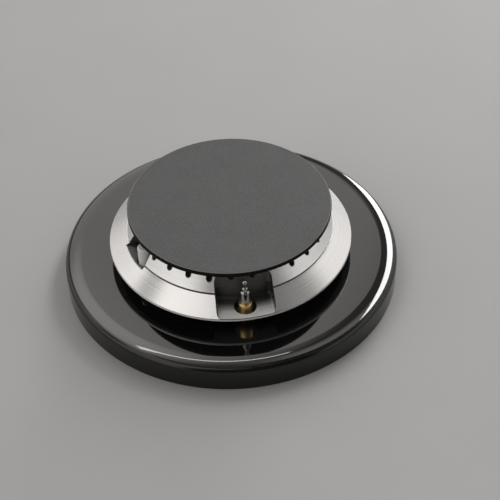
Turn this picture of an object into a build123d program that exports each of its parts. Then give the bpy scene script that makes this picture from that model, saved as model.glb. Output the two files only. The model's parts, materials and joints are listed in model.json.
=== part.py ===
from build123d import *
from math import asin, cos, degrees, radians, sin, sqrt, tan
import os

# One gas burner of a cooktop. Millimetres. The worktop's surface is z = 0, the burner's axis is Z and the
# front, where the flame sensor stands, is -Y. An azimuth is counted from the front towards +X.

# Clearances
SEAT_GAP = 0.2          # between faces of pieces that lift apart
SLIP_GAP = 0.2          # around the spigot of the crown in the bore of the skirt
LOOSE_GAP = 0.4         # around what passes through a hole of a fixed piece
THREAD_GAP = 0.05       # around a screwed or pressed shank in its hole
EDGE_BREAK = 0.4        # small chamfers and roundings on turned pieces
CAST_ROUND = 2.0        # inner roundings of the castings
CUT_MARGIN = 1.0        # how far a cutter runs past the face it leaves by

# Crown
SPIGOT_DIAMETER = 90.0
SPIGOT_WALL = 5.0
WAIST_OVERHANG = 5.3    # the waist, where the cones of skirt and crown meet, stands out from the spigot
WAIST_CHAMFER = 0.6
BAND_HEIGHT = 10.1
BAND_TOP_INSET = 1.25   # the port band's upper edge inside the spigot's radius
BAND_TOP_LAND = 3.5
CHAMBER_DEPTH = 9.4
CHAMBER_FLOOR = 2.6
VENTURI_THROAT_DIAMETER = 15.0
VENTURI_TOP_DIAMETER = 19.0
VENTURI_WALL = 2.2
VENTURI_RISE = 4.0      # above the chamber's floor
VENTURI_LENGTH = 22.5
PORT_WIDTH = 3.0
PORT_DEPTH = 5.5
PORT_PITCH = 12.63      # degrees

# Notches
NOTCH_WIDTH = 27.1      # of the front notch at its back wall
NOTCH_FLARE = 2.2       # turn of each side wall from the notch's middle plane
NOTCH_CORNER_RADIUS = 2.2   # between its back wall and its side walls
NOTCH_FLOOR_RADIUS = 1.9    # between its walls and its floor
WINDOW_TO_FRONT = 5.5   # sweep of the left notch from the electrode to its front wall
WINDOW_TO_BACK = 16.1   # and to its back wall
WINDOW_DROP = 1.5       # its floor below the waist

# Cap
CAP_OVERHANG = 5.6      # beyond the port band's upper edge
CAP_THICKNESS = 2.7
CAP_EDGE_RADIUS = 0.9
CAP_RECESS = 0.8
CAP_LAND = 5.0          # between the recess and the tabs
CAP_TAB_DEPTH = 3.0
CAP_TAB_WIDTH = 2.2
CAP_TAB_SWEEP = 20.0
CAP_TAB_AZIMUTHS = (60.0, 180.0, 300.0)

# Skirt
SKIRT_AIR_GAP = 7.4     # height of the air way between dish and skirt
LIP_OVERHANG = 9.0      # beyond the waist
LIP_THICKNESS = 1.4
WAIST_RISE = 7.0        # from the lip's upper edge to the waist
SKIRT_THICKNESS = 2.2
HUB_WIDTH = 4.4

# Dish
DISH_DIAMETER = 164.4
DISH_HEIGHT = 13.7
DISH_WALL = 1.5
DISH_SHOULDER_WIDTH = 8.0
DISH_EDGE_RADIUS = 3.0
DISH_SHOULDER_TILT = 13.0
DISH_FOOT_GAP = 0.3     # the wall's lower edge stands this far above the worktop
THROAT_INSET = 8.5      # the dish's opening inside the spigot's radius
GASKET_WIDTH = 3.3
GASKET_HEIGHT = 5.0
SEAL_WIDTH = 10.0
SEAL_THICKNESS = 0.5

# Seat ring
SEAT_PLATE = 2.5
POST_SWEEP = 14.0
POST_AZIMUTHS = (30.0, 150.0, 270.0)
SPIGOT_AIR_GAP = 3.4    # height of the air way between the seat ring's plate and the spigot

# Flame sensor
SENSOR_OFFSET = 6.3     # its axis stands this far before the front notch's back wall
SENSOR_AZIMUTH = 0.6    # of the sensor and the front notch, against the ring of ports
SENSOR_DIAMETER = 6.35
SENSOR_COLLAR_RISE = 3.1    # above the notch's floor
SENSOR_HOLE_DIAMETER = 10.7
SENSOR_TAIL = 6.0       # below the cup's boss
PROBE_DIAMETER = 4.4
PROBE_LENGTH = 13.3
PROBE_BALL_DIAMETER = 2.4
PROBE_NECK_DIAMETER = 1.6
SENSOR_NUT_FLATS = 9.5
SENSOR_NUT_HEIGHT = 3.0
FERRULE_DIAMETER = 4.2
FERRULE_LENGTH = 9.0

# Spark electrode
ELECTRODE_OFFSET = 2.0  # its axis stands this far outside the spigot's radius
ELECTRODE_AZIMUTH = -66.0
CERAMIC_DIAMETER = 6.8
CERAMIC_TOP_GAP = 2.9   # below the cap
NICHE_DIAMETER = 8.6
CERAMIC_COLLAR_WIDTH = 1.9
CERAMIC_COLLAR_HEIGHT = 3.1
CERAMIC_TAIL_DIAMETER = 6.4
CERAMIC_TAIL = 9.4      # below the cup's boss
PIN_DIAMETER = 2.0
PIN_RISE = 1.4          # above the ceramic
PIN_TAIL = 3.4          # below the ceramic
TERMINAL_WIDTH = 4.8
TERMINAL_LENGTH = 8.0
TERMINAL_THICKNESS = 0.8
TERMINAL_EYE = 1.6
PRESS_TRAVEL = 3.0
SPRING_WIRE = 0.7
SPRING_COILS = 5.0
SPRING_RESERVE = 2.2    # what is left between the turns when the electrode is pressed in
CLIP_THICKNESS = 0.8
CLIP_GAP_SWEEP = 50.0

# Cup
CUP_INSET = 3.5         # the bowl's outside within the dish's opening
CUP_WALL = 3.5
CUP_DRAFT = 1.5
CUP_DEPTH = 33.5        # from the flange's top to the underside of the bowl
CUP_FLOOR = 4.0
FLANGE_WIDTH = 13.5     # beyond the dish's opening
FLANGE_THICKNESS = 4.0
BOSS_WALL = 3.3
SENSOR_BOSS_HEIGHT = 11.7
ELECTRODE_SHOULDER = 6.7    # the spring bore's upper end, below the flange's top
ELECTRODE_BOSS_WALL = 1.9
RIB_THICKNESS = 3.0
SCREW_AZIMUTHS = (90.0, 210.0, 330.0)
SCREW_BOSS_WALL = 2.9
SCREW_BOSS_FLOOR = 2.2
SCREW_DIAMETER = 3.2
SCREW_HEAD_DIAMETER = 7.2
SCREW_HEAD_HEIGHT = 2.2
SCREW_RECESS_WIDTH = 1.0
SCREW_LENGTH = 14.0
SUPPORT_SPACING = 44.0
SUPPORT_HOLE_DIAMETER = 3.3
SUPPORT_HOLE_DEPTH = 7.0
SUPPORT_BOSS_WALL = 3.35
SUPPORT_BOSS_DROP = 4.0     # below the bowl
EARTH_OFFSET = 20.0
EARTH_TAB_THICKNESS = 0.8
EARTH_TAB_WIDTH = 9.0
EARTH_SPADE_WIDTH = 6.3
EARTH_SPADE_LENGTH = 9.0
EARTH_SPADE_EYE = 1.6
EARTH_SCREW_LENGTH = 4.5

# Gas way
GALLERY_DIAMETER = 5.2
GALLERY_WIDTH = 13.0
GALLERY_HEIGHT = 12.0
INJECTOR_BOSS_WALL = 5.45
INJECTOR_BOSS_HEIGHT = 9.0
INJECTOR_THREAD_DIAMETER = 6.1
INJECTOR_THREAD_LENGTH = 5.0
INJECTOR_FLATS = 8.0
INJECTOR_HEX_HEIGHT = 4.0
INJECTOR_NOSE_DIAMETER = 6.0
INJECTOR_NOSE_LENGTH = 6.0
INJECTOR_TIP_WALL = 2.5
INJECTOR_BORE_DIAMETER = 3.0
INJECTOR_JET_DIAMETER = 1.0
INLET_BOSS_WALL = 3.1
INLET_BOSS_REACH = 13.0     # beyond the bowl
INLET_THREAD_DIAMETER = 11.8
INLET_THREAD_DEPTH = 12.0
INLET_THREAD_END_GAP = 1.0
INLET_FLATS = 17.0
INLET_HEX_LENGTH = 5.0
INLET_SEAL_THICKNESS = 0.8
INLET_SEAL_WIDTH = 2.0
NIPPLE_THREAD_DIAMETER = 13.0
NIPPLE_THREAD_LENGTH = 9.2
PIPE_SOCKET_DIAMETER = 8.1
PIPE_SOCKET_LENGTH = 7.4
PIPE_SOCKET_FLARE = 1.6
NUT_LENGTH = 12.0
NUT_START = 3.0         # the nut's front face behind the nipple's hexagon
OLIVE_LENGTH = 3.4
OLIVE_RISE = 1.1

# Worked-out radii
spigot_radius = SPIGOT_DIAMETER / 2
spigot_inside = spigot_radius - SPIGOT_WALL
skirt_bore = spigot_radius + SLIP_GAP
hub_radius = skirt_bore + HUB_WIDTH
waist_radius = spigot_radius + WAIST_OVERHANG
lip_radius = waist_radius + LIP_OVERHANG
band_top_radius = spigot_radius - BAND_TOP_INSET
chamber_radius = band_top_radius - BAND_TOP_LAND
cap_radius = band_top_radius + CAP_OVERHANG
venturi_radius = VENTURI_THROAT_DIAMETER / 2 + 2 * VENTURI_WALL
sensor_radius = spigot_radius + SENSOR_OFFSET
electrode_radius = spigot_radius + ELECTRODE_OFFSET
throat_radius = spigot_radius - THROAT_INSET
seat_step_radius = skirt_bore + LOOSE_GAP / 2
screw_circle_radius = (throat_radius + seat_step_radius) / 2
cup_radius = throat_radius - CUP_INSET
cup_inside = cup_radius - CUP_WALL
flange_radius = throat_radius + FLANGE_WIDTH
collar_radius = CERAMIC_DIAMETER / 2 + CERAMIC_COLLAR_WIDTH
spring_bore_radius = collar_radius + LOOSE_GAP
inlet_boss_end = cup_radius + INLET_BOSS_REACH
dish_radius = DISH_DIAMETER / 2
beyond = lip_radius * 2        # longer than anything that a cutter has to pass

# Worked-out heights
dish_underside = DISH_HEIGHT - DISH_WALL
flange_top = dish_underside - SEAL_THICKNESS
flange_bottom = flange_top - FLANGE_THICKNESS
seat_top = DISH_HEIGHT + SEAT_PLATE
spigot_base = seat_top + SPIGOT_AIR_GAP
skirt_base = DISH_HEIGHT + SKIRT_AIR_GAP
lip_top = skirt_base + LIP_THICKNESS
waist = lip_top + WAIST_RISE
skirt_top = waist - SEAT_GAP
band_top = waist + BAND_HEIGHT
cap_base = band_top + SEAT_GAP
cap_top = cap_base + CAP_THICKNESS
chamber_floor = band_top - CHAMBER_DEPTH
ceiling = chamber_floor - CHAMBER_FLOOR
window_floor = waist - WINDOW_DROP
collar_top = lip_top + SENSOR_COLLAR_RISE
bowl_bottom = flange_top - CUP_DEPTH
bowl_floor = bowl_bottom + CUP_FLOOR
lug_bottom = bowl_bottom - SUPPORT_BOSS_DROP
gallery_height = lug_bottom + GALLERY_HEIGHT / 2
injector_seat = bowl_floor + INJECTOR_BOSS_HEIGHT
sensor_boss_bottom = flange_top - SENSOR_BOSS_HEIGHT
screw_tip = seat_top - SCREW_LENGTH
screw_boss_bottom = screw_tip - CUT_MARGIN - SCREW_BOSS_FLOOR
ceramic_collar_top = flange_top - ELECTRODE_SHOULDER - LOOSE_GAP
ceramic_collar_bottom = ceramic_collar_top - CERAMIC_COLLAR_HEIGHT
spring_bottom = ceramic_collar_bottom - PRESS_TRAVEL - (SPRING_COILS + 1) * SPRING_WIRE - SPRING_RESERVE
electrode_boss_bottom = spring_bottom - CLIP_THICKNESS
ceramic_bottom = electrode_boss_bottom - CERAMIC_TAIL
ceramic_top = cap_base - CERAMIC_TOP_GAP


def outline(*corners):
    """A closed face in the plane of X and Z from (radius, height) or (radius, height, rounding) corners."""
    points = [(corner[0], 0, corner[1]) for corner in corners]
    roundings = [corner[2] if len(corner) > 2 else 0 for corner in corners]
    return make_face(FilletPolyline(*points, radius=roundings, close=True))


def turned(*corners):
    """A solid of revolution about Z."""
    return revolve(outline(*corners), Axis.Z)


def sector(azimuth, sweep, *corners):
    """The part of a solid of revolution that spans sweep degrees about an azimuth."""
    return Rot(Z=azimuth - 90 - sweep / 2) * revolve(outline(*corners), Axis.Z, revolution_arc=sweep)


def at(radius, azimuth, height=0.0):
    """The place on the front axis at this radius, turned to an azimuth."""
    return Rot(Z=azimuth) * Pos(0, -radius, height)


def rod(radius, low, high):
    """An upright cylinder between two heights."""
    return Pos(0, 0, low) * Cylinder(radius, high - low, align=(Align.CENTER, Align.CENTER, Align.MIN))


def tube(inside, outside, low, high):
    return rod(outside, low, high) - rod(inside, low - CUT_MARGIN, high + CUT_MARGIN)


def hexagon(flats, low, high):
    """An upright hexagonal bar with its corners turned off."""
    corner = flats / sqrt(3)
    turn = (corner - flats / 2) * 1.2
    bar = Pos(0, 0, low) * extrude(RegularPolygon(corner, 6), high - low)
    return bar & turned((0, low), (corner - turn, low), (corner, low + turn / 2), (corner, high - turn / 2),
                        (corner - turn, high), (0, high))


def block(width, near, far, low, high):
    """A box at the front between two radii and two heights."""
    box = Box(width, far - near, high - low, align=(Align.CENTER, Align.MAX, Align.MIN))
    return Pos(0, -near, low) * box


def pan_screw(length):
    """A pan-head screw that points down, with its head's seat at z = 0 and a cross recess."""
    shank = SCREW_DIAMETER / 2
    head = SCREW_HEAD_DIAMETER / 2
    screw = turned((0, -length), (shank - EDGE_BREAK, -length), (shank, EDGE_BREAK - length), (shank, 0),
                   (head, 0), (head, SCREW_HEAD_HEIGHT, SCREW_HEAD_HEIGHT * 0.45), (0, SCREW_HEAD_HEIGHT))
    arm = Pos(0, 0, SCREW_HEAD_HEIGHT) * Box(head, SCREW_RECESS_WIDTH, SCREW_HEAD_HEIGHT)
    return screw - arm - Rot(Z=90) * arm


# ---- Cap ----

def burner_cap():
    tab_outside = chamber_radius - LOOSE_GAP
    tab_inside = tab_outside - CAP_TAB_WIDTH
    recess = tab_inside - CAP_LAND
    cap = turned((0, cap_base + CAP_RECESS), (recess - CAP_RECESS, cap_base + CAP_RECESS), (recess, cap_base),
                 (cap_radius, cap_base, EDGE_BREAK), (cap_radius, cap_top, CAP_EDGE_RADIUS), (0, cap_top))
    for azimuth in CAP_TAB_AZIMUTHS:
        cap += sector(azimuth, CAP_TAB_SWEEP, (tab_inside, cap_base - CAP_TAB_DEPTH),
                      (tab_outside, cap_base - CAP_TAB_DEPTH), (tab_outside, cap_base + CAP_RECESS),
                      (tab_inside, cap_base + CAP_RECESS))
    return cap


# ---- Crown ----

def port_cutter():
    """A slot with a round bottom that runs out through the crown's wall at the front."""
    bottom = band_top - PORT_DEPTH + PORT_WIDTH / 2
    inside = chamber_radius - CUT_MARGIN
    slot = block(PORT_WIDTH, inside, beyond, bottom, cap_top)
    drill = Cylinder(PORT_WIDTH / 2, beyond - inside, align=(Align.CENTER, Align.CENTER, Align.MIN))
    return slot + Pos(0, -inside, bottom) * Rot(X=90) * drill


def port_azimuths():
    """The ports' places, without the one left bare and those that the left notch takes."""
    side = int(180 / PORT_PITCH)
    places = [(place + 0.5) * PORT_PITCH for place in range(-side, side)]
    half_port = degrees(asin(PORT_WIDTH / 2 / band_top_radius))
    window_front = ELECTRODE_AZIMUTH + WINDOW_TO_FRONT + half_port
    window_back = ELECTRODE_AZIMUTH - WINDOW_TO_BACK - half_port
    return [azimuth for place, azimuth in enumerate(places)
            if place != side + 1 and not window_back < azimuth < window_front]


def front_notch(low):
    """What the front notch takes away above a height: a gap with rounded corners up to a round back wall."""
    near = spigot_radius * 0.8
    half_near = NOTCH_WIDTH / 2 - (spigot_radius - near) * tan(radians(NOTCH_FLARE))
    half_far = NOTCH_WIDTH / 2 + (beyond - spigot_radius) * tan(radians(NOTCH_FLARE))
    gap = make_face(Polyline((half_near, -near), (half_far, -beyond), (-half_far, -beyond),
                             (-half_near, -near), close=True)) - Circle(spigot_radius)
    gap = fillet(gap.vertices().group_by(Axis.Y)[-1], NOTCH_CORNER_RADIUS)
    return Pos(0, 0, low) * Rot(Z=SENSOR_AZIMUTH) * extrude(gap, cap_top - low)


def left_notch(low):
    """What the left notch takes away above a height: a gap between two radial walls."""
    middle = ELECTRODE_AZIMUTH + (WINDOW_TO_FRONT - WINDOW_TO_BACK) / 2
    return sector(middle, WINDOW_TO_FRONT + WINDOW_TO_BACK, (spigot_radius, low), (beyond, low),
                  (beyond, cap_top), (spigot_radius, cap_top))


def electrode_niche(low, high):
    return at(electrode_radius, ELECTRODE_AZIMUTH) * rod(NICHE_DIAMETER / 2, low, high)


def flame_crown():
    crown = turned(
        (venturi_radius + THREAD_GAP, ceiling),
        (spigot_inside, ceiling, CAST_ROUND),
        (spigot_inside, spigot_base),
        (spigot_radius, spigot_base),
        (spigot_radius, waist),
        (waist_radius - 2 * WAIST_CHAMFER, waist),
        (waist_radius - WAIST_CHAMFER / 2, waist + WAIST_CHAMFER * 0.8),
        (band_top_radius, band_top),
        (chamber_radius, band_top),
        (chamber_radius, chamber_floor, CAST_ROUND),
        (venturi_radius + THREAD_GAP, chamber_floor),
    )
    slot = port_cutter()
    for azimuth in port_azimuths():
        crown -= Rot(Z=azimuth) * slot
    crown -= front_notch(spigot_base)
    crown -= left_notch(spigot_base)
    return crown - electrode_niche(spigot_base - CUT_MARGIN, cap_top)


def venturi_tube():
    """The flared tube that is pressed into the crown's floor, with a collar that rests on the floor."""
    throat = VENTURI_THROAT_DIAMETER / 2
    rim = VENTURI_TOP_DIAMETER / 2
    top = chamber_floor + VENTURI_RISE
    bottom = top - VENTURI_LENGTH
    return turned(
        (throat + VENTURI_WALL, bottom, VENTURI_WALL / 3),
        (venturi_radius, bottom, VENTURI_WALL / 5),
        (venturi_radius, chamber_floor),
        (rim + 1.6 * VENTURI_WALL, chamber_floor),
        (rim + 1.4 * VENTURI_WALL, chamber_floor + VENTURI_WALL / 3, VENTURI_WALL / 5),
        (rim + 0.7 * VENTURI_WALL, top, VENTURI_WALL / 5),
        (rim, top, VENTURI_WALL / 5),
        (throat, bottom + VENTURI_LENGTH * 0.4, VENTURI_LENGTH / 2),
    )


# ---- Skirt ----

def skirt_ring():
    top_edge = waist_radius + SEAT_GAP
    slope = (skirt_top - lip_top) / (lip_radius - top_edge)
    ring = turned((skirt_bore, skirt_base), (lip_radius, skirt_base, LIP_THICKNESS / 5),
                  (lip_radius, lip_top, LIP_THICKNESS / 5), (top_edge, skirt_top), (skirt_bore, skirt_top))
    hollow_top = skirt_top - 1.5 * SKIRT_THICKNESS
    hollow_end = lip_radius - (SKIRT_THICKNESS - LIP_THICKNESS) / slope
    hollow_corner = hollow_end - (hollow_top - skirt_base) / slope
    half_notch = NOTCH_WIDTH / 2 + (lip_radius - spigot_radius) * tan(radians(NOTCH_FLARE))
    solid_sweep = 2.3 * degrees(asin(half_notch / lip_radius))
    ring -= sector(180, 360 - solid_sweep, (hub_radius, skirt_base - CUT_MARGIN),
                   (hub_radius, hollow_top, EDGE_BREAK), (hollow_corner, hollow_top, EDGE_BREAK),
                   (hollow_end, skirt_base), (hollow_end, skirt_base - CUT_MARGIN))
    notch = front_notch(lip_top)
    ring -= fillet(notch.edges().group_by(Axis.Z)[0], NOTCH_FLOOR_RADIUS)
    ring -= left_notch(window_floor)
    ring -= electrode_niche(skirt_base - CUT_MARGIN, cap_top)
    hole = rod(SENSOR_HOLE_DIAMETER / 2, skirt_base - CUT_MARGIN, skirt_top)
    return ring - at(sensor_radius, SENSOR_AZIMUTH) * hole


# ---- Dish, seals and seat ring ----

def rim_arcs(depth):
    """The rounded rim's two tangent arcs, from the flat top to the wall, at a depth below the surface."""
    tilt = radians(DISH_SHOULDER_TILT)
    quarter = radians(90)
    flat = dish_radius - DISH_SHOULDER_WIDTH
    shoulder = DISH_EDGE_RADIUS + (DISH_SHOULDER_WIDTH - DISH_EDGE_RADIUS) / sin(tilt)
    edge_x = dish_radius - DISH_EDGE_RADIUS
    edge_z = DISH_HEIGHT - shoulder + (shoulder - DISH_EDGE_RADIUS) * cos(tilt)

    def arc(x, z, radius, first, last):
        points = [(x + (radius - depth) * sin(angle), 0, z + (radius - depth) * cos(angle))
                  for angle in (first, (first + last) / 2, last)]
        return ThreePointArc(*points)

    return [arc(flat, DISH_HEIGHT - shoulder, shoulder, 0, tilt),
            arc(edge_x, edge_z, DISH_EDGE_RADIUS, tilt, quarter)]


def screw_holes(low, high):
    holes = [at(screw_circle_radius, azimuth) * rod(SCREW_DIAMETER / 2 + LOOSE_GAP, low, high)
             for azimuth in SCREW_AZIMUTHS]
    return holes[0] + holes[1:]


def base_dish():
    outer = rim_arcs(0)
    inner = rim_arcs(DISH_WALL)
    straight = Polyline(outer[1] @ 1, (dish_radius, 0, DISH_FOOT_GAP),
                        (dish_radius - DISH_WALL, 0, DISH_FOOT_GAP), inner[1] @ 1)
    top = Polyline(inner[0] @ 0, (throat_radius, 0, dish_underside), (throat_radius, 0, DISH_HEIGHT), outer[0] @ 0)
    dish = revolve(make_face(straight.edges() + top.edges() + outer + inner), Axis.Z)
    past_top = DISH_HEIGHT + CUT_MARGIN
    dish -= at(sensor_radius, SENSOR_AZIMUTH) * rod(SENSOR_DIAMETER / 2 + LOOSE_GAP, 0, past_top)
    return dish - electrode_niche(0, past_top) - screw_holes(0, past_top)


def dish_gasket():
    outside = dish_radius - DISH_WALL - THREAD_GAP
    return turned((outside - GASKET_WIDTH, 0), (outside, 0), (outside, GASKET_HEIGHT),
                  (outside - GASKET_WIDTH * 0.6, GASKET_HEIGHT), (outside - GASKET_WIDTH, GASKET_HEIGHT * 0.4))


def cup_seal():
    seal = tube(throat_radius, throat_radius + SEAL_WIDTH, flange_top, dish_underside)
    return seal - screw_holes(0, DISH_HEIGHT) - electrode_niche(0, DISH_HEIGHT)


def seat_ring():
    plate = tube(throat_radius, seat_step_radius, DISH_HEIGHT, seat_top)
    inside = spigot_inside + LOOSE_GAP
    for azimuth in POST_AZIMUTHS:
        plate += sector(azimuth, POST_SWEEP, (inside, DISH_HEIGHT), (hub_radius, DISH_HEIGHT),
                        (hub_radius, skirt_base - SEAT_GAP), (seat_step_radius, skirt_base - SEAT_GAP),
                        (seat_step_radius, spigot_base - SEAT_GAP), (inside, spigot_base - SEAT_GAP))
    return plate - electrode_niche(0, cap_top) - screw_holes(0, cap_top)


def cup_screws():
    screw = pan_screw(SCREW_LENGTH)
    return Compound([at(screw_circle_radius, azimuth, seat_top) * screw for azimuth in SCREW_AZIMUTHS])


# ---- Cup ----

def lobe(radius, azimuth, boss_radius, bottom):
    """A boss below the flange, with a tapered ear of the flange that reaches it and a rib from the bowl."""
    eye = Pos(0, -radius) * Circle(boss_radius)
    root = Pos(0, -cup_radius) * Circle(2 * boss_radius)
    ear = Pos(0, 0, flange_bottom) * extrude(make_hull(eye.edges() + root.edges()), FLANGE_THICKNESS)
    boss = Pos(0, -radius, 0) * rod(boss_radius, bottom, flange_top)
    inside = cup_radius - CUP_WALL / 2
    web = make_face(Polyline((0, -inside, flange_bottom), (0, -radius, flange_bottom),
                             (0, -radius, bottom + RIB_THICKNESS / 2), (0, -inside, bottom - RIB_THICKNESS),
                             close=True))
    rib = Pos(RIB_THICKNESS / 2, 0, 0) * extrude(web, RIB_THICKNESS, dir=(-1, 0, 0))
    return Rot(Z=azimuth) * (ear + boss + rib)


def cup_body():
    """The bowl and its flange, filled."""
    return turned((0, bowl_bottom), (cup_radius - CUP_DRAFT, bowl_bottom, CAST_ROUND),
                  (cup_radius, flange_bottom, CAST_ROUND), (flange_radius, flange_bottom, FLANGE_THICKNESS / 4),
                  (flange_radius, flange_top), (0, flange_top))


def cup_hollow():
    """The bowl's inside, around the boss that carries the injector."""
    boss = INJECTOR_THREAD_DIAMETER / 2 + INJECTOR_BOSS_WALL
    past_top = flange_top + CUT_MARGIN
    return turned((0, injector_seat), (boss - EDGE_BREAK, injector_seat), (boss, bowl_floor, CAST_ROUND),
                  (cup_inside - CUP_DRAFT, bowl_floor, CAST_ROUND), (cup_inside, flange_top),
                  (cup_inside, past_top), (0, past_top))


def along_back(solid, reach):
    """Turns an upright solid to point backwards at the gas way's height, its z = 0 at this reach."""
    return Pos(0, reach, gallery_height) * Rot(X=-90) * solid


def gas_way():
    """The rib that holds the gallery, from the injector's boss to the inlet's boss."""
    overlap = GALLERY_WIDTH / 3
    rib = Pos(0, cup_radius / 2, gallery_height) * Box(GALLERY_WIDTH, cup_radius + 2 * overlap, GALLERY_HEIGHT)
    rib = fillet(rib.edges().filter_by(Axis.Y), GALLERY_WIDTH / 5)
    boss_radius = INLET_THREAD_DIAMETER / 2 + INLET_BOSS_WALL
    return rib + along_back(rod(boss_radius, cup_radius - CUP_WALL, inlet_boss_end), 0)


def burner_cup():
    cup = cup_body()
    cup += lobe(sensor_radius, SENSOR_AZIMUTH, SENSOR_DIAMETER / 2 + BOSS_WALL, sensor_boss_bottom)
    cup += lobe(electrode_radius, ELECTRODE_AZIMUTH, spring_bore_radius + ELECTRODE_BOSS_WALL,
                electrode_boss_bottom)
    for azimuth in SCREW_AZIMUTHS:
        cup += lobe(screw_circle_radius, azimuth, SCREW_DIAMETER / 2 + SCREW_BOSS_WALL, screw_boss_bottom)
    cup -= cup_hollow()
    cup += gas_way()
    half = SUPPORT_SPACING / 2
    bosses = [Pos(-half, 0, 0), Pos(half, 0, 0), at(EARTH_OFFSET, 0)]
    for place in bosses:
        cup += place * rod(SUPPORT_HOLE_DIAMETER / 2 + SUPPORT_BOSS_WALL, lug_bottom, bowl_floor - CUP_FLOOR / 2)
    for place in bosses:
        cup -= place * rod(SUPPORT_HOLE_DIAMETER / 2, lug_bottom - CUT_MARGIN, lug_bottom + SUPPORT_HOLE_DEPTH)
    return cup - cup_bores()


def cup_bores():
    past_top = flange_top + CUT_MARGIN
    screws = [at(screw_circle_radius, azimuth) * rod(SCREW_DIAMETER / 2 + THREAD_GAP, screw_tip - CUT_MARGIN,
                                                     past_top) for azimuth in SCREW_AZIMUTHS]
    sensor = at(sensor_radius, SENSOR_AZIMUTH) * rod(SENSOR_DIAMETER / 2 + THREAD_GAP,
                                                     sensor_boss_bottom - CUT_MARGIN, past_top)
    below = electrode_boss_bottom - CUT_MARGIN
    electrode = at(electrode_radius, ELECTRODE_AZIMUTH) * (
        rod(CERAMIC_DIAMETER / 2 + LOOSE_GAP, below, past_top)
        + rod(spring_bore_radius, below, flange_top - ELECTRODE_SHOULDER))
    injector_bore = (rod(INJECTOR_THREAD_DIAMETER / 2 + THREAD_GAP,
                         injector_seat - INJECTOR_THREAD_LENGTH - CUT_MARGIN, injector_seat + CUT_MARGIN)
                     + rod(GALLERY_DIAMETER / 2 - THREAD_GAP, gallery_height, injector_seat))
    gallery = along_back(rod(GALLERY_DIAMETER / 2, 0, inlet_boss_end), 0)
    socket = along_back(rod(INLET_THREAD_DIAMETER / 2 + THREAD_GAP, -INLET_THREAD_DEPTH, CUT_MARGIN),
                        inlet_boss_end)
    return screws + [sensor, electrode, injector_bore, gallery, socket]


# ---- Gas inlet and injector ----

def injector():
    hex_top = injector_seat + INJECTOR_HEX_HEIGHT
    nose_top = hex_top + INJECTOR_NOSE_LENGTH
    nose = INJECTOR_NOSE_DIAMETER / 2
    thread_end = injector_seat - INJECTOR_THREAD_LENGTH
    body = hexagon(INJECTOR_FLATS, injector_seat, hex_top)
    body += rod(INJECTOR_THREAD_DIAMETER / 2, thread_end, injector_seat)
    body += turned((0, hex_top), (nose, hex_top), (nose, nose_top - nose / 2, EDGE_BREAK),
                   (nose / 2, nose_top, EDGE_BREAK), (0, nose_top))
    body -= rod(INJECTOR_BORE_DIAMETER / 2, thread_end - CUT_MARGIN, nose_top - INJECTOR_TIP_WALL)
    return body - rod(INJECTOR_JET_DIAMETER / 2, thread_end, nose_top + CUT_MARGIN)


# The nipple's hexagon, its end and its pipe socket, counted from the inlet boss
hex_start = INLET_SEAL_THICKNESS
hex_end = hex_start + INLET_HEX_LENGTH
nipple_end = hex_end + NIPPLE_THREAD_LENGTH
socket_mouth = nipple_end - PIPE_SOCKET_FLARE
olive_start = nipple_end - PIPE_SOCKET_FLARE / 2


def inlet_nipple():
    bore = GALLERY_DIAMETER / 2
    shank = INLET_THREAD_DIAMETER / 2
    thread = NIPPLE_THREAD_DIAMETER / 2
    socket = PIPE_SOCKET_DIAMETER / 2
    socket_end = socket_mouth - PIPE_SOCKET_LENGTH
    tip = INLET_THREAD_END_GAP - INLET_THREAD_DEPTH
    body = turned((bore, tip), (shank - EDGE_BREAK, tip), (shank, tip + EDGE_BREAK), (shank, hex_start),
                  (thread, hex_start), (thread, nipple_end - EDGE_BREAK), (thread - EDGE_BREAK, nipple_end),
                  (socket + PIPE_SOCKET_FLARE * 0.85, nipple_end), (socket, socket_mouth), (socket, socket_end),
                  (bore, socket_end))
    body += hexagon(INLET_FLATS, hex_start, hex_end) - rod(shank, hex_start - CUT_MARGIN, hex_end + CUT_MARGIN)
    return along_back(body, inlet_boss_end)


def inlet_seal():
    inside = INLET_THREAD_DIAMETER / 2 + THREAD_GAP
    return along_back(tube(inside, inside + INLET_SEAL_WIDTH, 0, INLET_SEAL_THICKNESS), inlet_boss_end)


def olive():
    bore = PIPE_SOCKET_DIAMETER / 2 + THREAD_GAP / 2
    end = olive_start + OLIVE_LENGTH
    edge = bore + OLIVE_RISE * 0.25
    ring = turned((bore, olive_start), (edge, olive_start), (bore + OLIVE_RISE, olive_start + OLIVE_LENGTH * 0.37),
                  (bore + OLIVE_RISE, end - OLIVE_LENGTH * 0.37), (edge, end), (bore, end))
    return along_back(ring, inlet_boss_end)


def compression_nut():
    start = hex_end + NUT_START
    end = start + NUT_LENGTH
    thread = NIPPLE_THREAD_DIAMETER / 2 + THREAD_GAP
    pipe = PIPE_SOCKET_DIAMETER / 2 + 2 * THREAD_GAP
    cone_start = olive_start + OLIVE_LENGTH * 0.63 + SEAT_GAP
    cone_depth = OLIVE_RISE + 2 * SEAT_GAP
    nut = hexagon(INLET_FLATS, start, end)
    nut -= turned((0, start - CUT_MARGIN), (thread, start - CUT_MARGIN), (thread, cone_start),
                  (pipe + cone_depth, cone_start), (pipe, cone_start + cone_depth), (pipe, end + CUT_MARGIN),
                  (0, end + CUT_MARGIN))
    return along_back(nut, inlet_boss_end)


# ---- Flame sensor ----

def thermocouple_body():
    radius = SENSOR_DIAMETER / 2
    tail = sensor_boss_bottom - SENSOR_TAIL
    body = turned((0, tail), (radius - EDGE_BREAK, tail), (radius, tail + EDGE_BREAK),
                  (radius, collar_top, EDGE_BREAK), (0, collar_top))
    return at(sensor_radius, SENSOR_AZIMUTH) * body


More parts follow.
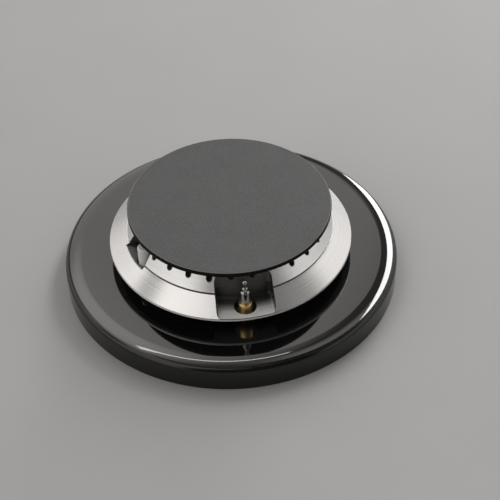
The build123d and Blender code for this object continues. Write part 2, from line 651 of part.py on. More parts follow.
def thermocouple_tip():
    top = collar_top + PROBE_LENGTH
    radius = PROBE_DIAMETER / 2
    neck = PROBE_NECK_DIAMETER / 2
    ball = PROBE_BALL_DIAMETER / 2
    in_ball = top - ball
    stem = turned((0, collar_top), (radius, collar_top), (radius, collar_top + PROBE_LENGTH * 0.49, radius / 5),
                  (radius * 0.7, collar_top + PROBE_LENGTH * 0.55, radius / 8),
                  (radius * 0.6, collar_top + PROBE_LENGTH * 0.66, radius / 8),
                  (neck, collar_top + PROBE_LENGTH * 0.71), (neck, in_ball), (0, in_ball))
    return at(sensor_radius, SENSOR_AZIMUTH) * (stem + Pos(0, 0, in_ball) * Sphere(ball))


def thermocouple_nut():
    low = sensor_boss_bottom - SENSOR_NUT_HEIGHT
    nut = hexagon(SENSOR_NUT_FLATS, low, sensor_boss_bottom)
    nut -= rod(SENSOR_DIAMETER / 2 + THREAD_GAP, low - CUT_MARGIN, flange_top)
    return at(sensor_radius, SENSOR_AZIMUTH) * nut


def thermocouple_ferrule():
    top = sensor_boss_bottom - SENSOR_TAIL
    low = top - FERRULE_LENGTH
    radius = FERRULE_DIAMETER / 2
    crimp_low = low + FERRULE_LENGTH * 0.45
    crimp_high = low + FERRULE_LENGTH * 0.75
    crimp_taper = radius / 4
    ferrule = turned((0, low), (radius - EDGE_BREAK, low), (radius, low + EDGE_BREAK), (radius, crimp_low),
                     (radius * 0.8, crimp_low + crimp_taper, crimp_taper / 2),
                     (radius * 0.8, crimp_high - crimp_taper, crimp_taper / 2), (radius, crimp_high),
                     (radius, top), (0, top))
    return at(sensor_radius, SENSOR_AZIMUTH) * ferrule


# ---- Spark electrode ----

def electrode_ceramic():
    bore = PIN_DIAMETER / 2 + THREAD_GAP
    stem = CERAMIC_DIAMETER / 2
    tail = CERAMIC_TAIL_DIAMETER / 2
    body = turned((bore, ceramic_bottom), (tail, ceramic_bottom, EDGE_BREAK), (tail, ceramic_collar_bottom),
                  (collar_radius, ceramic_collar_bottom, EDGE_BREAK),
                  (collar_radius, ceramic_collar_top, EDGE_BREAK), (stem, ceramic_collar_top),
                  (stem, ceramic_top, 2 * EDGE_BREAK), (bore, ceramic_top))
    return at(electrode_radius, ELECTRODE_AZIMUTH) * body


def electrode_pin():
    radius = PIN_DIAMETER / 2
    low = ceramic_bottom - PIN_TAIL
    high = ceramic_top + PIN_RISE
    pin = turned((0, low), (radius, low), (radius, high, radius * 0.6), (0, high))
    return at(electrode_radius, ELECTRODE_AZIMUTH) * pin


def electrode_terminal():
    """A barrel crimped on the pin, with a flat spade below it."""
    pin_end = ceramic_bottom - PIN_TAIL
    outside = PIN_DIAMETER / 2 + TERMINAL_THICKNESS
    barrel = tube(PIN_DIAMETER / 2 + THREAD_GAP, outside, pin_end, ceramic_bottom - SEAT_GAP)
    neck = rod(outside, pin_end - TERMINAL_THICKNESS, pin_end)
    spade = Pos(0, 0, pin_end - TERMINAL_LENGTH / 2) * Box(TERMINAL_WIDTH, TERMINAL_THICKNESS, TERMINAL_LENGTH)
    spade = chamfer(spade.edges().group_by(Axis.Z)[0].filter_by(Axis.Y), TERMINAL_WIDTH / 5)
    eye = Rot(X=90) * Cylinder(TERMINAL_EYE / 2, 2 * TERMINAL_THICKNESS)
    spade -= Pos(0, 0, pin_end - TERMINAL_LENGTH * 0.6) * eye
    return at(electrode_radius, ELECTRODE_AZIMUTH) * (barrel + neck + spade)


def helix_point(turn, radius, low, rise):
    angle = radians(360 * turn)
    return Vector(radius * cos(angle), radius * sin(angle), low + rise * turn)


def helix_tangent(turn, radius, rise):
    angle = radians(360 * turn)
    across = radians(360) * radius
    return Vector(-across * sin(angle), across * cos(angle), rise).normalized()


def biarc(start, start_tangent, end, end_tangent):
    """Two arcs that join two points smoothly along the given directions."""
    reach = end - start
    both = start_tangent + end_tangent
    bend = 2 * (1 - start_tangent.dot(end_tangent))
    along = reach.dot(both)
    arm = (sqrt(along ** 2 + bend * reach.dot(reach)) - along) / bend
    middle = (start + end + (start_tangent - end_tangent) * arm) * 0.5
    middle_tangent = (end - start - both * arm) * (0.5 / arm)
    return [Edge.make_tangent_arc(start, start_tangent, middle),
            Edge.make_tangent_arc(middle, middle_tangent, end)]


def electrode_spring():
    """One unbroken wire, wound in half turns of two arcs each."""
    low = spring_bottom + SPRING_WIRE / 2
    high = ceramic_collar_bottom - SPRING_WIRE / 2
    half_turns = round(2 * SPRING_COILS)
    rise = 2 * (high - low) / half_turns
    radius = collar_radius - SEAT_GAP - SPRING_WIRE / 2
    edges = []
    for half_turn in range(half_turns):
        first = half_turn / 2
        last = first + 0.5
        edges += biarc(helix_point(first, radius, low, rise), helix_tangent(first, radius, rise),
                       helix_point(last, radius, low, rise), helix_tangent(last, radius, rise))
    print("spring: least gap between turns", round(spring_gap(radius, low, rise), 2), "mm")
    path = Wire(edges)
    section = Plane(origin=path @ 0, z_dir=path % 0) * Circle(SPRING_WIRE / 2)
    return at(electrode_radius, ELECTRODE_AZIMUTH) * sweep(section, path=path)


def spring_gap(radius, low, rise):
    """The least distance between the surfaces of neighbouring turns, measured on points."""
    steps = [step / 36 for step in range(int(36 * SPRING_COILS) + 1)]
    points = [(turn, helix_point(turn, radius, low, rise)) for turn in steps]
    apart = [(p - q).length for s, p in points for t, q in points if t - s > 0.5]
    return min(apart) - SPRING_WIRE


def electrode_clip():
    """A split ring that snaps into the boss and carries the spring."""
    outside = spring_bore_radius - THREAD_GAP
    inside = CERAMIC_TAIL_DIAMETER / 2 + LOOSE_GAP
    high = electrode_boss_bottom + CLIP_THICKNESS
    ring = sector(0, 360 - CLIP_GAP_SWEEP, (inside, electrode_boss_bottom), (outside, electrode_boss_bottom),
                  (outside, high), (inside, high))
    return at(electrode_radius, ELECTRODE_AZIMUTH) * ring


# ---- Earth terminal ----

def earth_tab():
    low = lug_bottom - EARTH_TAB_THICKNESS
    eye_radius = EARTH_TAB_WIDTH / 2
    eye = tube(SCREW_DIAMETER / 2 + LOOSE_GAP, eye_radius, low, lug_bottom)
    reach = eye_radius + EARTH_SPADE_LENGTH
    spade = block(EARTH_SPADE_WIDTH, SCREW_DIAMETER / 2 + 2 * LOOSE_GAP, reach, low, lug_bottom)
    spade = chamfer(spade.edges().filter_by(Axis.Z).group_by(Axis.Y)[0], EARTH_SPADE_WIDTH / 6)
    spade -= at(reach - EARTH_SPADE_LENGTH / 2, 0) * rod(EARTH_SPADE_EYE / 2, low - CUT_MARGIN, bowl_floor)
    return at(EARTH_OFFSET, 0) * (eye + spade)


def earth_screw():
    return at(EARTH_OFFSET, 0, lug_bottom - EARTH_TAB_THICKNESS) * Rot(X=180) * pan_screw(EARTH_SCREW_LENGTH)


NODES = [
    burner_cap,
    flame_crown,
    venturi_tube,
    skirt_ring,
    seat_ring,
    base_dish,
    dish_gasket,
    cup_seal,
    cup_screws,
    burner_cup,
    injector,
    inlet_nipple,
    inlet_seal,
    olive,
    compression_nut,
    thermocouple_body,
    thermocouple_tip,
    thermocouple_nut,
    thermocouple_ferrule,
    electrode_ceramic,
    electrode_pin,
    electrode_terminal,
    electrode_spring,
    electrode_clip,
    earth_tab,
    earth_screw,
]

os.makedirs("parts", exist_ok=True)
for node in NODES:
    export_step(node(), f"parts/{node.__name__}.step")
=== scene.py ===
import json
from math import cos, pi, radians, sin

import bmesh
import bpy
from mathutils import Matrix, Quaternion, Vector


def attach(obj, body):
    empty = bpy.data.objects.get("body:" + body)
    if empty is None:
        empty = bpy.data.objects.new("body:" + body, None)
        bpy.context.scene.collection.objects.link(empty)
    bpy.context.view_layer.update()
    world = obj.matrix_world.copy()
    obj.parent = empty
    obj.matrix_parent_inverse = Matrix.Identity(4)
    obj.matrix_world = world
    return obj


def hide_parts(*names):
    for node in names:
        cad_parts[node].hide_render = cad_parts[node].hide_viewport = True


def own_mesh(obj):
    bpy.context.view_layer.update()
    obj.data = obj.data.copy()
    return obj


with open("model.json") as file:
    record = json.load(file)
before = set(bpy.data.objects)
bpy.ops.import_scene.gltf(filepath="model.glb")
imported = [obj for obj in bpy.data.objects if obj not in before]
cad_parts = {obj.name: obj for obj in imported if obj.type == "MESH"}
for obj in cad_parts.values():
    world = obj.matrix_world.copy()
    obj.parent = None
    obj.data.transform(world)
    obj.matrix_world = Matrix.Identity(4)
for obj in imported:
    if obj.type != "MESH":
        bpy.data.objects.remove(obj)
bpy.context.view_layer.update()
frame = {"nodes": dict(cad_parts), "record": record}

# One gas burner on a pale worktop. Metres; the worktop's surface is z = 0, the burner's axis is Z and the
# front, where the flame sensor stands, is -Y.

MM = 0.001
nodes = frame["nodes"]

# Camera
CAMERA_DISTANCE = 0.6874
CAMERA_ELEVATION = radians(43.86)
CAMERA_AZIMUTH = radians(-5.5)
CAMERA_YAW = radians(-0.787)
CAMERA_PITCH = radians(0.62)
CAMERA_ROLL = radians(2.42)
SENSOR_WIDTH = 36.0
LENS = 98.34

# Places on the burner that the materials follow
CAP_TOP = 42.5 * MM
CAP_EDGE_HIGHLIGHT = (0.16 * MM, 0.02 * MM)          # below the cap's top, where the pale band of painted highlight along the edge begins and ends
CAP_SIDE_SHADE = (0.45 * MM, 0.25 * MM)           # below the cap's top, where the grey face gives way to the near-black painted shade of the side
BAND_CONE = (50.3 * MM, 29.5 * MM, 0.65, 0.6 * MM)      # radius, height, fall of the radius, width
SKIRT_CONE = (59.3 * MM, 22.5 * MM, 1.294, 0.6 * MM)
SKIRT_RIM = (54.0 * MM, 22.6 * MM)              # radius and height of the rim round the notch's floor, which carries painted light and shade
RIM_FADE = 5 * MM                               # the painted light on the floor fades out this far inside the rim
PAINTED_SHADE_FADE = 8 * MM                              # and the painted shade on the skirt is darkest from here inwards
RIM_HEIGHT_FADE = 0.6 * MM
SENSOR_CENTRE = (0.54 * MM, -51.3 * MM)
SENSOR_SHADE_EDGE = (15.5 * MM, 18.5 * MM)          # heights between which the dark painted shade on the brass below the skirt's rim gives way to bright brass
COAT_FADE = (0.88, 0.95)                        # upward share of the normal over which the clear coat sets in
TONE_SPREAD = (0.3, 0.7)                        # keeps a blend of two tones off its ends
DULL_SPREAD = (0.25, 0.75)

# Stage
FLOOR_HOLE_RADIUS = 0.0765      # inside the dish's gasket, so that the cup hangs free below the worktop
FLOOR_RADIUS = 3.0
FLOOR_RINGS = (FLOOR_HOLE_RADIUS, 0.2, 0.6, FLOOR_RADIUS)
FLOOR_STEPS = 96
LAMP_AIM_HEIGHT = 0.02
GLOW = (198.0, 51.0)            # azimuth and elevation of the brightest place
BACKDROP = (187.0, 36.0)        # and of the middle of the backdrop
# Patches of the studio: azimuth and elevation, the angles from there between which the patch fades out, and
# its brightness. In turn: an unlit side, a small flag on the left, the wall behind the camera, the brighter
# left side, the glow, and the ceiling.
PATCHES = (
    ((52.0, 51.0), (14, 36), 0.25),
    ((265.0, 38.0), (4, 12), 0.2),
    ((5.0, 16.0), (32, 49), 0.12),
    ((295.0, 45.0), (24, 55), 1.24),
    (GLOW, (2, 14), 1.9),
    ((0, 90), (20, 26), 0.2),
)
BORDER_INNER = (16, 21.5)       # angles from the backdrop's middle between which its dark border sets in
BORDER_OUTER = (29, 35)         # and between which it ends
BORDER_GLOW = (8, 24)           # angles from the glow over which the border fades in
BORDER_DEPTH = 0.85
SKY_RISE = 0.32                 # upward share of the direction at which the sky has its full brightness
SKY_LEVELS = (0.78, 0.9)        # at the horizon and from there upwards
SKY_COLOUR = (1.0, 0.965, 0.93, 1.0)


# ---- Shader building ----

def add(tree, kind, inputs=None, **settings):
    """A shader node with its settings, and inputs that are values or other nodes' outputs."""
    node = tree.nodes.new("ShaderNode" + kind)
    for name, value in settings.items():
        setattr(node, name, value)
    for key, value in (inputs or {}).items():
        if isinstance(value, bpy.types.NodeSocket):
            tree.links.new(value, node.inputs[key])
        else:
            node.inputs[key].default_value = value
    return node


def grey(level):
    return (level, level, level, 1.0)


def place(tree):
    """The surface point in metres in the burner's own frame."""
    return add(tree, "TexCoord").outputs["Object"]


def noise(tree, where, size, detail=2.0, roughness=0.5):
    """Noise from 0 to 1 whose features are about this size in metres."""
    inputs = {"Vector": where, "Scale": 1 / size, "Detail": detail, "Roughness": roughness}
    node = add(tree, "TexNoise", inputs)
    return node.outputs["Fac"]


def rescale(tree, value, low, high, from_low=0.0, from_high=1.0):
    node = add(tree, "MapRange", {"Value": value, "From Min": from_low, "From Max": from_high,
                                  "To Min": low, "To Max": high})
    return node.outputs["Result"]


def blend(tree, factor, first, second):
    """A colour between two colours."""
    node = add(tree, "Mix", data_type="RGBA")
    colour_sockets = [socket for socket in node.inputs if socket.type == "RGBA"]
    for socket, value in zip(colour_sockets, (first, second)):
        if isinstance(value, bpy.types.NodeSocket):
            tree.links.new(value, socket)
        else:
            socket.default_value = value
    tree.links.new(factor, node.inputs[0])
    return next(socket for socket in node.outputs if socket.type == "RGBA")


def arithmetic(tree, operation, first, second):
    return add(tree, "Math", {0: first, 1: second}, operation=operation).outputs[0]


def weighted(tree, *parts):
    """The sum of values, each times its weight."""
    *others, (value, weight) = parts
    total = arithmetic(tree, "MULTIPLY", value, weight)
    for value, weight in reversed(others):
        total = arithmetic(tree, "ADD", arithmetic(tree, "MULTIPLY", value, weight), total)
    return total


def bump(tree, height, depth, strength=1.0, normal=None):
    inputs = {"Height": height, "Distance": depth, "Strength": strength}
    if normal is not None:
        inputs["Normal"] = normal
    return add(tree, "Bump", inputs).outputs["Normal"]


def radius_and_height(tree, where, centre=(0.0, 0.0)):
    """The distance from an upright axis and the height above the worktop."""
    moved = add(tree, "VectorMath", {0: where, 1: (-centre[0], -centre[1], 0.0)}, operation="ADD").outputs[0]
    flat = add(tree, "VectorMath", {0: moved, 1: (1.0, 1.0, 0.0)}, operation="MULTIPLY").outputs[0]
    radius = add(tree, "VectorMath", {0: flat}, operation="LENGTH").outputs["Value"]
    return radius, add(tree, "SeparateXYZ", {0: moved}).outputs["Z"]


def turning_lines(tree, where, size, centre=(0.0, 0.0)):
    """Fine rings about an upright axis, as a lathe leaves them: noise of the radius and the height."""
    radius, height = radius_and_height(tree, where, centre)
    along = arithmetic(tree, "ADD", radius, height)
    scaled = arithmetic(tree, "DIVIDE", along, size)
    rings = add(tree, "TexNoise", {"W": scaled, "Scale": 1.0, "Detail": 3.0, "Roughness": 0.65},
                noise_dimensions="1D")
    return rings.outputs["Fac"]


def near_cone(tree, where, radius, height, slope, width):
    """1 on a cone about the burner's axis that has this radius at this height, and 0 from a width away."""
    here, level = radius_and_height(tree, where)
    fall = arithmetic(tree, "MULTIPLY", arithmetic(tree, "SUBTRACT", level, height), slope)
    beyond = arithmetic(tree, "ADD", arithmetic(tree, "SUBTRACT", here, radius), fall)
    off = arithmetic(tree, "ABSOLUTE", beyond, 0.0)
    return rescale(tree, off, 1.0, 0.0, width / 2, width)


def new_material(name):
    material = bpy.data.materials.new(name)
    material.use_nodes = True
    tree = material.node_tree
    tree.nodes.clear()
    shader = tree.nodes.new("ShaderNodeBsdfPrincipled")
    output = tree.nodes.new("ShaderNodeOutputMaterial")
    tree.links.new(shader.outputs["BSDF"], output.inputs["Surface"])
    return material, tree, shader


def connect(tree, shader, **inputs):
    """Sets the shader's inputs. An underscore in a keyword stands for a space in the socket's name."""
    for key, value in inputs.items():
        socket = shader.inputs[key.replace("_", " ")]
        if isinstance(value, bpy.types.NodeSocket):
            tree.links.new(value, socket)
        else:
            socket.default_value = value


def matt_enamel(name):
    """Matt grey enamel with a fine dry grain on the top face, a pale painted highlight along its edge and
    near-black painted shade on the side below it.
    """
    material, tree, shader = new_material(name)
    where = place(tree)
    grain = noise(tree, where, 0.42 * MM, 4.0, 0.75)
    cloud = noise(tree, where, 12 * MM, 2.0)
    tone = rescale(tree, weighted(tree, (grain, 0.93), (cloud, 0.07)), 0, 1, 0.38, 0.62)
    colour = blend(tree, tone, (0.078, 0.079, 0.081, 1), (0.152, 0.153, 0.155, 1))
    height = radius_and_height(tree, where)[1]
    # painted highlight: a pale band just under the cap's top, along its rounded edge
    edge = rescale(tree, height, 1.0, 0.0, *(CAP_TOP - depth for depth in CAP_EDGE_HIGHLIGHT))
    # painted shade: the cap's side below the top face is near black
    above_side_shade = rescale(tree, height, 0.0, 1.0, *(CAP_TOP - depth for depth in CAP_SIDE_SHADE))
    with_painted_highlight = blend(tree, edge, colour, grey(0.24))
    connect(tree, shader, Base_Color=blend(tree, above_side_shade, grey(0.006), with_painted_highlight), Specular_IOR_Level=0.12,
            Roughness=rescale(tree, grain, 0.5, 0.7), Normal=bump(tree, grain, 0.16 * MM, 1.0))
    return material


def gloss_enamel(name):
    """Deep black enamel with a faint orange-peel flow, clear-coated where it lies flat and not on a wall."""
    material, tree, shader = new_material(name)
    where = place(tree)
    flow = noise(tree, where, 6 * MM, 1.0)
    speck = noise(tree, where, 0.8 * MM, 2.0)
    upward = add(tree, "SeparateXYZ", {0: add(tree, "TexCoord").outputs["Normal"]}).outputs["Z"]
    connect(tree, shader, Base_Color=blend(tree, speck, grey(0.003), grey(0.006)),
            Roughness=rescale(tree, speck, 0.03, 0.07), Normal=bump(tree, flow, 0.012 * MM, 0.5),
            Coat_Weight=rescale(tree, upward, 0.0, 1.0, *COAT_FADE), Coat_Roughness=0.03, Coat_IOR=1.6)
    return material


def cast_metal(name, low, high, roughness, grain_size, depth):
    """Bare cast metal: mottled, with a dull grain."""
    material, tree, shader = new_material(name)
    where = place(tree)
    grain = noise(tree, where, grain_size, 3.0, 0.6)
    mottle = noise(tree, where, 12 * grain_size, 3.0)
    tone = rescale(tree, weighted(tree, (grain, 0.5), (mottle, 0.5)), 0, 1, *TONE_SPREAD)
    connect(tree, shader, Base_Color=blend(tree, tone, low, high), Metallic=1.0,
            Roughness=rescale(tree, grain, roughness - 0.06, roughness + 0.08),
            Normal=bump(tree, grain, depth, 0.7))
    return material


def turned_metal(name, low, high, roughness, line_size, depth, centre=(0.0, 0.0)):
    """Metal with the fine rings of a lathe about an upright axis."""
    material, tree, shader = new_material(name)
    where = place(tree)
    lines = turning_lines(tree, where, line_size, centre)
    cloud = noise(tree, where, 14 * MM, 2.0)
    tone = rescale(tree, weighted(tree, (lines, 0.55), (cloud, 0.45)), 0, 1, *TONE_SPREAD)
    connect(tree, shader, Base_Color=blend(tree, tone, low, high), Metallic=1.0,
            Roughness=rescale(tree, lines, roughness - 0.04, roughness + 0.07),
            Normal=bump(tree, lines, depth, 0.8))
    return material


def notch_light_and_shade(tree, where, grain, turned, dull, rim):
    """The dull colour and metallic share of a casting, with dark painted shade well inside a rim and pale
    painted light on a less metallic floor below it.
    """
    rim_radius, rim_height = rim
    radius, height = radius_and_height(tree, where)
    # painted light: a pale floor near the rim, which is also less metallic there
    below = rescale(tree, height, 1.0, 0.0, rim_height, rim_height + RIM_HEIGHT_FADE)
    outside = rescale(tree, radius, 0.0, 1.0, rim_radius - RIM_FADE, rim_radius)
    painted_light_and_matt = arithmetic(tree, "MULTIPLY", below, outside)
    # painted shade: darker further inside the notch
    painted_shade_inside = rescale(tree, radius, 0.6, 0.0, rim_radius - PAINTED_SHADE_FADE, rim_radius - RIM_FADE)
    pale = blend(tree, rescale(tree, grain, 0, 1, *TONE_SPREAD), grey(0.68), grey(0.94))
    colour = blend(tree, painted_light_and_matt, blend(tree, painted_shade_inside, dull, grey(0.03)), pale)
    return colour, arithmetic(tree, "MAXIMUM", rescale(tree, painted_light_and_matt, 1.0, 0.25), turned)


def machined_casting(name, low, high, cone, roughness, line_size, depth, anisotropy, grain_depth, rim=None):
    """A casting turned bright on its outer cone and dull elsewhere. With a rim, its notch gets painted light
    near the rim and painted shade further in.
    """
    material, tree, shader = new_material(name)
    where = place(tree)
    lines = turning_lines(tree, where, line_size)
    grain = noise(tree, where, 0.35 * MM, 3.0, 0.7)
    cloud = noise(tree, where, 14 * MM, 2.0)
    turned = near_cone(tree, where, *cone)
    tone = rescale(tree, weighted(tree, (lines, 0.4), (grain, 0.35), (cloud, 0.25)), 0, 1, *TONE_SPREAD)
    bright = blend(tree, tone, low, high)
    dull = blend(tree, rescale(tree, grain, 0, 1, *DULL_SPREAD), grey(0.10), grey(0.22))
    metallic = 1.0
    if rim:
        dull, metallic = notch_light_and_shade(tree, where, grain, turned, dull, rim)
    rough = arithmetic(tree, "ADD", rescale(tree, turned, 0.5, roughness - 0.04),
                       arithmetic(tree, "MULTIPLY", lines, 0.1))
    normal = bump(tree, grain, grain_depth, 0.8, bump(tree, lines, depth, 0.8))
    tangent = add(tree, "Tangent", direction_type="RADIAL", axis="Z").outputs["Tangent"]
    connect(tree, shader, Base_Color=blend(tree, turned, dull, bright), Metallic=metallic, Roughness=rough,
            Normal=normal, Anisotropic=anisotropy, Anisotropic_Rotation=0.25, Tangent=tangent)
    return material


def sensor_metal(name):
    """Brass, bright on the collar that shows above the skirt's rim, with dark painted shade below it where
    the lip shades it.
    """
    material, tree, shader = new_material(name)
    where = place(tree)
    lines = turning_lines(tree, where, 0.2 * MM, SENSOR_CENTRE)
    cloud = noise(tree, where, 2 * MM, 2.0)
    height = radius_and_height(tree, where)[1]
    # painted shade: dark brass below the skirt's rim, where the lip shades it; bright brass above
    above_painted_shade = rescale(tree, height, 0.0, 1.0, *SENSOR_SHADE_EDGE)
    gold = blend(tree, arithmetic(tree, "MULTIPLY", arithmetic(tree, "ADD", lines, cloud), 0.5),
                 (0.82, 0.56, 0.21, 1), (0.98, 0.76, 0.36, 1))
    painted_shade_brass = blend(tree, cloud, (0.045, 0.02, 0.012, 1), (0.09, 0.045, 0.025, 1))
    connect(tree, shader, Base_Color=blend(tree, above_painted_shade, painted_shade_brass, gold), Metallic=1.0,
            Roughness=rescale(tree, lines, 0.28, 0.42), Normal=bump(tree, lines, 0.008 * MM, 0.8))
    return material


def glazed_ceramic(name):
    material, tree, shader = new_material(name)
    where = place(tree)
    cloud = noise(tree, where, 3 * MM, 3.0)
    pores = noise(tree, where, 0.4 * MM, 2.0)
    connect(tree, shader, Base_Color=blend(tree, cloud, (0.70, 0.70, 0.69, 1), (0.80, 0.80, 0.79, 1)),
            Roughness=rescale(tree, pores, 0.2, 0.34), Normal=bump(tree, pores, 0.01 * MM, 0.5),
            Coat_Weight=0.6, Coat_Roughness=0.08)
    return material


def dull_sheet(name, low, high, roughness, grain_size, depth):
    """Rubber, seal sheet or fibre."""
    material, tree, shader = new_material(name)
    where = place(tree)
    grain = noise(tree, where, grain_size, 4.0, 0.6)
    connect(tree, shader, Base_Color=blend(tree, grain, low, high),
            Roughness=rescale(tree, grain, roughness - 0.08, roughness + 0.08),
            Normal=bump(tree, grain, depth, 0.6))
    return material


materials = {
    "cap_enamel": matt_enamel("cap_enamel"),
    "dish_enamel": gloss_enamel("dish_enamel"),
    "crown_casting": machined_casting("crown_casting", grey(0.66), grey(0.98), BAND_CONE, 0.30, 0.22 * MM,
                                      0.02 * MM, 0.45, 0.07 * MM),
    "skirt_aluminium": machined_casting("skirt_aluminium", grey(0.73), grey(0.86), SKIRT_CONE, 0.24,
                                        0.16 * MM, 0.012 * MM, 0.6, 0.006 * MM, rim=SKIRT_RIM),
    "seat_steel": turned_metal("seat_steel", grey(0.42), grey(0.5), 0.3, 0.3 * MM, 0.004 * MM),
    "gasket_rubber": dull_sheet("gasket_rubber", grey(0.022), grey(0.04), 0.6, 0.5 * MM, 0.03 * MM),
    "seal_sheet": dull_sheet("seal_sheet", grey(0.09), grey(0.14), 0.7, 0.4 * MM, 0.03 * MM),
    "screw_steel": turned_metal("screw_steel", (0.55, 0.56, 0.55, 1), (0.66, 0.67, 0.64, 1), 0.28, 0.2 * MM,
                                0.006 * MM),
    "cup_casting": cast_metal("cup_casting", grey(0.42), grey(0.56), 0.45, 0.45 * MM, 0.05 * MM),
    "jet_brass": turned_metal("jet_brass", (0.70, 0.50, 0.20, 1), (0.80, 0.60, 0.27, 1), 0.2, 0.2 * MM,
                              0.008 * MM),
    "fitting_brass": turned_metal("fitting_brass", (0.64, 0.46, 0.19, 1), (0.76, 0.57, 0.26, 1), 0.26,
                                  0.25 * MM, 0.01 * MM),
    "washer_fibre": dull_sheet("washer_fibre", (0.28, 0.05, 0.035, 1), (0.4, 0.09, 0.06, 1), 0.65, 0.3 * MM,
                               0.03 * MM),
    "sensor_brass": sensor_metal("sensor_brass"),
    "probe_steel": turned_metal("probe_steel", (0.27, 0.26, 0.25, 1), (0.44, 0.43, 0.43, 1), 0.12, 0.25 * MM,
                                0.006 * MM, SENSOR_CENTRE),
    "white_ceramic": glazed_ceramic("white_ceramic"),
    "terminal_steel": turned_metal("terminal_steel", (0.58, 0.57, 0.53, 1), (0.7, 0.69, 0.65, 1), 0.3,
                                   0.4 * MM, 0.004 * MM),
    "spring_steel": turned_metal("spring_steel", grey(0.44), grey(0.56), 0.24, 0.2 * MM, 0.004 * MM),
}

for subpart in frame["record"]["subparts"]:
    node = nodes[subpart["node"]]
    node.data.materials.clear()
    node.data.materials.append(materials[subpart["material_slot"]])


def mesh_object(name, mesh):
    thing = bpy.data.objects.new(name, mesh)
    bpy.context.scene.collection.objects.link(thing)
    return thing


def pressed_spring():
    """The electrode's coil spring, which stands on its clip, copied from its part and attached to the base.
    The real spring shortens as the electrode is pressed in; this copy keeps its shape.
    """
    node = nodes["electrode_spring"]
    coil = mesh_object("coil_spring", node.data.copy())
    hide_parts("electrode_spring")
    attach(coil, "base")
    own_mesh(coil)


pressed_spring()


# ---- Stage ----

def worktop():
    """A pale round floor with a cut-out that the dish covers."""
    builder = bmesh.new()
    angles = [2 * pi * step / FLOOR_STEPS for step in range(FLOOR_STEPS)]
    rings = []
    for radius in FLOOR_RINGS:
        rings.append([builder.verts.new((radius * cos(angle), radius * sin(angle), 0)) for angle in angles])
    for inner, outer in zip(rings, rings[1:]):
        for step in range(FLOOR_STEPS):
            after = (step + 1) % FLOOR_STEPS
            builder.faces.new((inner[step], outer[step], outer[after], inner[after]))
    mesh = bpy.data.meshes.new("worktop")
    builder.to_mesh(mesh)
    builder.free()
    thing = mesh_object("worktop", mesh)
    material, tree, shader = new_material("worktop")
    where = place(tree)
    cloud = noise(tree, where, 60 * MM, 2.0)
    connect(tree, shader, Base_Color=blend(tree, cloud, grey(0.41), grey(0.44)), Roughness=0.75)
    thing.data.materials.append(material)


worktop()


def heading(azimuth, elevation):
    """A unit vector. Its azimuth is counted from the front towards +X."""
    a, e = radians(azimuth), radians(elevation)
    return Vector((sin(a) * cos(e), -cos(a) * cos(e), sin(e)))


def softbox(name, azimuth, elevation, distance, width, height, power, roll=0.0):
    """A rectangular lamp that points at the burner. Angles and roll are in degrees, power in watts."""
    lamp = bpy.data.lights.new(name, "AREA")
    lamp.shape = "RECTANGLE"
    lamp.size, lamp.size_y = width, height
    lamp.energy = power
    thing = bpy.data.objects.new(name, lamp)
    away = heading(azimuth, elevation)
    thing.location = away * distance + Vector((0, 0, LAMP_AIM_HEIGHT))
    thing.rotation_mode = "QUATERNION"
    thing.rotation_quaternion = away.to_track_quat("Z", "Y") @ Quaternion((0.0, 0.0, 1.0), radians(roll))
    bpy.context.scene.collection.objects.link(thing)


softbox("softbox_right", azimuth=144.8, elevation=32.5, distance=1.6, width=0.38, height=1.35, power=13.2,
        roll=27.0)
softbox("strip_back", azimuth=184.0, elevation=62.8, distance=1.6, width=0.62, height=0.05, power=0.42)


def fade(tree, value, from_low, from_high, low, high):
    """A value that goes smoothly from low to high over a range of another."""
    inputs = {"Value": value, "From Min": from_low, "From Max": from_high, "To Min": low, "To Max": high}
    return add(tree, "MapRange", inputs, interpolation_type="SMOOTHSTEP").outputs["Result"]


def away_from(tree, direction, middle, angles, low, high):
    """A factor that goes from low to high between two angles from a direction, in degrees."""
    inner, outer = (cos(radians(angle)) for angle in angles)
    nearness = add(tree, "VectorMath", {0: direction, 1: heading(*middle)}, operation="DOT_PRODUCT")
    return fade(tree, nearness.outputs["Value"], outer, inner, high, low)


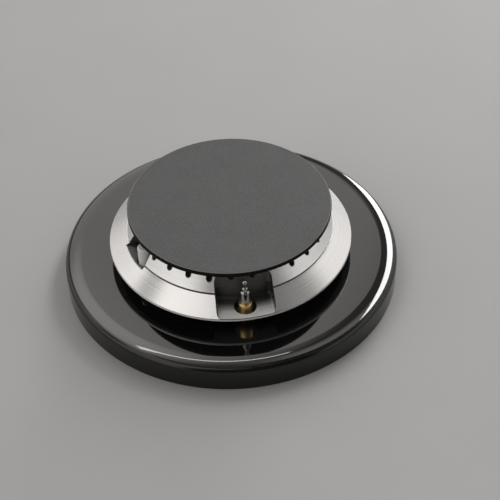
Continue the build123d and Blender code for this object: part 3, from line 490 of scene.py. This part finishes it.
def studio_world():
    """Soft light, a little dimmer at the horizon, with patches and a dark border round the backdrop."""
    world = bpy.data.worlds.new("studio")
    bpy.context.scene.world = world
    world.use_nodes = True
    tree = world.node_tree
    background = tree.nodes["Background"]
    direction = add(tree, "TexCoord").outputs["Generated"]
    height = add(tree, "SeparateXYZ", {0: direction}).outputs["Z"]
    factors = [away_from(tree, direction, middle, angles, level, 1.0) for middle, angles, level in PATCHES]
    set_in = away_from(tree, direction, BACKDROP, BORDER_INNER, 0.0, BORDER_DEPTH)
    end = away_from(tree, direction, BACKDROP, BORDER_OUTER, 1.0, 0.0)
    border = arithmetic(tree, "MULTIPLY", set_in, end)
    border = arithmetic(tree, "MULTIPLY", border, away_from(tree, direction, GLOW, BORDER_GLOW, 0.0, 1.0))
    factors.append(arithmetic(tree, "SUBTRACT", 1.0, border))
    shade = factors[0]
    for factor in factors[1:]:
        shade = arithmetic(tree, "MULTIPLY", shade, factor)
    rise = fade(tree, height, 0.0, SKY_RISE, *SKY_LEVELS)
    background.inputs["Color"].default_value = SKY_COLOUR
    tree.links.new(arithmetic(tree, "MULTIPLY", rise, shade), background.inputs["Strength"])


studio_world()


# ---- Camera ----

def photograph_camera():
    """The photograph's view: it looks at the burner from the front and above, a little off its centre."""
    position = Vector((0, -CAMERA_DISTANCE * cos(CAMERA_ELEVATION), CAMERA_DISTANCE * sin(CAMERA_ELEVATION)))
    forward = -position.normalized()
    right = Vector((1.0, 0.0, 0.0))
    up = right.cross(forward)
    yaw = Matrix.Rotation(CAMERA_YAW, 3, up)
    forward, right = yaw @ forward, yaw @ right
    pitch = Matrix.Rotation(CAMERA_PITCH, 3, right)
    forward, up = pitch @ forward, pitch @ up
    roll = Matrix.Rotation(CAMERA_ROLL, 3, forward)
    right, up = roll @ right, roll @ up
    pose = Matrix((right, up, -forward)).transposed().to_4x4()
    pose.translation = position
    data = bpy.data.cameras.new("camera")
    data.sensor_width = SENSOR_WIDTH
    data.lens = LENS
    data.clip_start, data.clip_end = 0.01, 20.0
    thing = bpy.data.objects.new("camera", data)
    thing.matrix_world = Matrix.Rotation(CAMERA_AZIMUTH, 4, "Z") @ pose
    bpy.context.scene.collection.objects.link(thing)
    bpy.context.scene.camera = thing


photograph_camera()
bpy.context.scene.view_settings.view_transform = "Standard"
